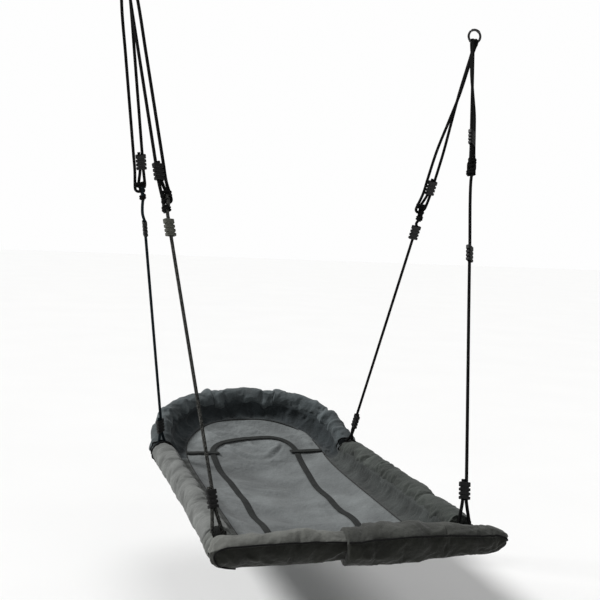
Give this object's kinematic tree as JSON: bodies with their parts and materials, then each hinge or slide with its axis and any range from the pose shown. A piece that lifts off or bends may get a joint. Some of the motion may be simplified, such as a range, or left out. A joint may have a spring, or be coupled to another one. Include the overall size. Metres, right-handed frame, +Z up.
{
  "type": "platform swing seat",
  "caption": "Platform swing seat: padded tube frame with an upturned rounded head end and a fabric deck, hung by adjustable ropes from two snap rings",
  "frame": {"origin": "halfway between the lowest points of the two snap rings' wires, where the ropes hang", "axes": "+X across the seat from the left rail to the right one, +Y along it toward the upturned head end, +Z up"},
  "size_m": [1.2441, 1.5052, 1.9065],
  "materials": {
    "border_band": "woven dark grey fabric",
    "cover_head_left": "woven dark grey fabric",
    "cover_head_middle": "woven dark grey fabric",
    "cover_head_right": "woven dark grey fabric",
    "cover_left": "woven dark grey fabric",
    "cover_near_left": "woven grey fabric",
    "cover_near_right": "woven dark grey fabric",
    "cover_right": "woven dark grey fabric",
    "cross_strap_left": "woven black webbing",
    "cross_strap_right": "woven black webbing",
    "far_left_adjuster_high": "moulded black plastic",
    "far_left_adjuster_low": "moulded black plastic",
    "far_left_adjuster_middle": "moulded black plastic",
    "far_left_rope": "braided black rope",
    "far_left_sling": "braided black rope",
    "far_right_adjuster_high": "moulded black plastic",
    "far_right_adjuster_low": "moulded black plastic",
    "far_right_adjuster_middle": "moulded black plastic",
    "far_right_rope": "braided black rope",
    "far_right_sling": "braided black rope",
    "foam_head_left": "soft grey foam",
    "foam_head_middle": "soft grey foam",
    "foam_head_right": "soft grey foam",
    "foam_left": "soft grey foam",
    "foam_near": "soft grey foam",
    "foam_right": "soft grey foam",
    "frame_head_left": "drawn steel tube",
    "frame_head_middle": "drawn steel tube",
    "frame_head_right": "drawn steel tube",
    "frame_left_rail": "drawn steel tube",
    "frame_near_tube": "drawn steel tube",
    "frame_right_rail": "drawn steel tube",
    "left_ring_body": "polished steel",
    "left_ring_gate": "polished steel",
    "left_ring_hitch": "braided black rope",
    "left_ring_pin": "polished steel",
    "near_left_adjuster_high": "moulded black plastic",
    "near_left_adjuster_low": "moulded black plastic",
    "near_left_adjuster_middle": "moulded black plastic",
    "near_left_rope": "braided black rope",
    "near_left_sling": "braided black rope",
    "near_right_adjuster_high": "moulded black plastic",
    "near_right_adjuster_low": "moulded black plastic",
    "near_right_adjuster_middle": "moulded black plastic",
    "near_right_rope": "braided black rope",
    "near_right_sling": "braided black rope",
    "panel_strap": "woven black webbing",
    "right_ring_body": "polished steel",
    "right_ring_gate": "polished steel",
    "right_ring_hitch": "braided black rope",
    "right_ring_pin": "polished steel",
    "screw_far_left": "zinc plated",
    "screw_far_right": "zinc plated",
    "screw_head_left": "zinc plated",
    "screw_head_right": "zinc plated",
    "screw_near_left": "zinc plated",
    "screw_near_right": "zinc plated",
    "seat_panel": "woven light grey fabric"
  },
  "bodies": {
    "rings": {"left_ring_body": "left_ring_body", "left_ring_pin": "left_ring_pin", "right_ring_body": "right_ring_body", "right_ring_pin": "right_ring_pin"},
    "left_gate": {"left_ring_gate": "left_ring_gate"},
    "right_gate": {"right_ring_gate": "right_ring_gate"},
    "left_hitch": {"left_ring_hitch": "left_ring_hitch"},
    "right_hitch": {"right_ring_hitch": "right_ring_hitch"},
    "left_ropes": {"far_left_adjuster_high": "far_left_adjuster_high", "far_left_adjuster_low": "far_left_adjuster_low", "far_left_adjuster_middle": "far_left_adjuster_middle", "far_left_rope": "far_left_rope", "far_left_sling": "far_left_sling", "near_left_adjuster_high": "near_left_adjuster_high", "near_left_adjuster_low": "near_left_adjuster_low", "near_left_adjuster_middle": "near_left_adjuster_middle", "near_left_rope": "near_left_rope", "near_left_sling": "near_left_sling"},
    "right_ropes": {"far_right_adjuster_high": "far_right_adjuster_high", "far_right_adjuster_low": "far_right_adjuster_low", "far_right_adjuster_middle": "far_right_adjuster_middle", "far_right_rope": "far_right_rope", "far_right_sling": "far_right_sling", "near_right_adjuster_high": "near_right_adjuster_high", "near_right_adjuster_low": "near_right_adjuster_low", "near_right_adjuster_middle": "near_right_adjuster_middle", "near_right_rope": "near_right_rope", "near_right_sling": "near_right_sling"},
    "seat": {"border_band": "border_band", "cover_head_left": "cover_head_left", "cover_head_middle": "cover_head_middle", "cover_head_right": "cover_head_right", "cover_left": "cover_left", "cover_near_left": "cover_near_left", "cover_near_right": "cover_near_right", "cover_right": "cover_right", "cross_strap_left": "cross_strap_left", "cross_strap_right": "cross_strap_right", "foam_head_left": "foam_head_left", "foam_head_middle": "foam_head_middle", "foam_head_right": "foam_head_right", "foam_left": "foam_left", "foam_near": "foam_near", "foam_right": "foam_right", "frame_head_left": "frame_head_left", "frame_head_middle": "frame_head_middle", "frame_head_right": "frame_head_right", "frame_left_rail": "frame_left_rail", "frame_near_tube": "frame_near_tube", "frame_right_rail": "frame_right_rail", "panel_strap": "panel_strap", "screw_far_left": "screw_far_left", "screw_far_right": "screw_far_right", "screw_head_left": "screw_head_left", "screw_head_right": "screw_head_right", "screw_near_left": "screw_near_left", "screw_near_right": "screw_near_right", "seat_panel": "seat_panel"}
  },
  "joints": [
    {"name": "swing", "type": "hinge", "parent": "rings", "child": "left_hitch", "pos_m": [-0.59665, 0, 0.1354], "axis": [0.9752, 0, -0.2213], "range_deg": [-40, 40]},
    {"name": "right_swing", "type": "hinge", "parent": "rings", "child": "right_hitch", "pos_m": [0.59665, 0, -0.1354], "axis": [0.9752, 0, -0.2213], "range_deg": [-40, 40]},
    {"name": "sway", "type": "hinge", "parent": "left_hitch", "child": "left_ropes", "pos_m": [-0.59665, 0, 0.1354], "axis": [0, 1, 0], "range_deg": [-4, 4]},
    {"name": "seat_level", "type": "hinge", "parent": "left_ropes", "child": "seat", "pos_m": [-0.34045, 0, -1.6355], "axis": [0, 1, 0], "range_deg": [-6.9, 6.9]},
    {"name": "right_sway", "type": "hinge", "parent": "right_hitch", "child": "right_ropes", "pos_m": [0.59665, 0, -0.1354], "axis": [0, 1, 0], "range_deg": [-4.8, 4.8]},
    {"name": "left_gate_hinge", "type": "hinge", "parent": "rings", "child": "left_gate", "pos_m": [-0.58145, 0, 0.1721], "axis": [0, -1, 0], "range_deg": [0, 28], "stiffness_Nm_per_rad": 0.05, "springref_deg": -20.05},
    {"name": "right_gate_hinge", "type": "hinge", "parent": "rings", "child": "right_gate", "pos_m": [0.61185, 0, -0.0987], "axis": [0, -1, 0], "range_deg": [0, 28], "stiffness_Nm_per_rad": 0.05, "springref_deg": -20.05}
  ],
  "couplings": [
    {"joint": "right_swing", "follows": "swing", "ratio": 1},
    {"joint": "seat_level", "follows": "sway", "ratio": -1.7118},
    {"joint": "right_sway", "follows": "sway", "ratio": 1.1805}
  ]
}
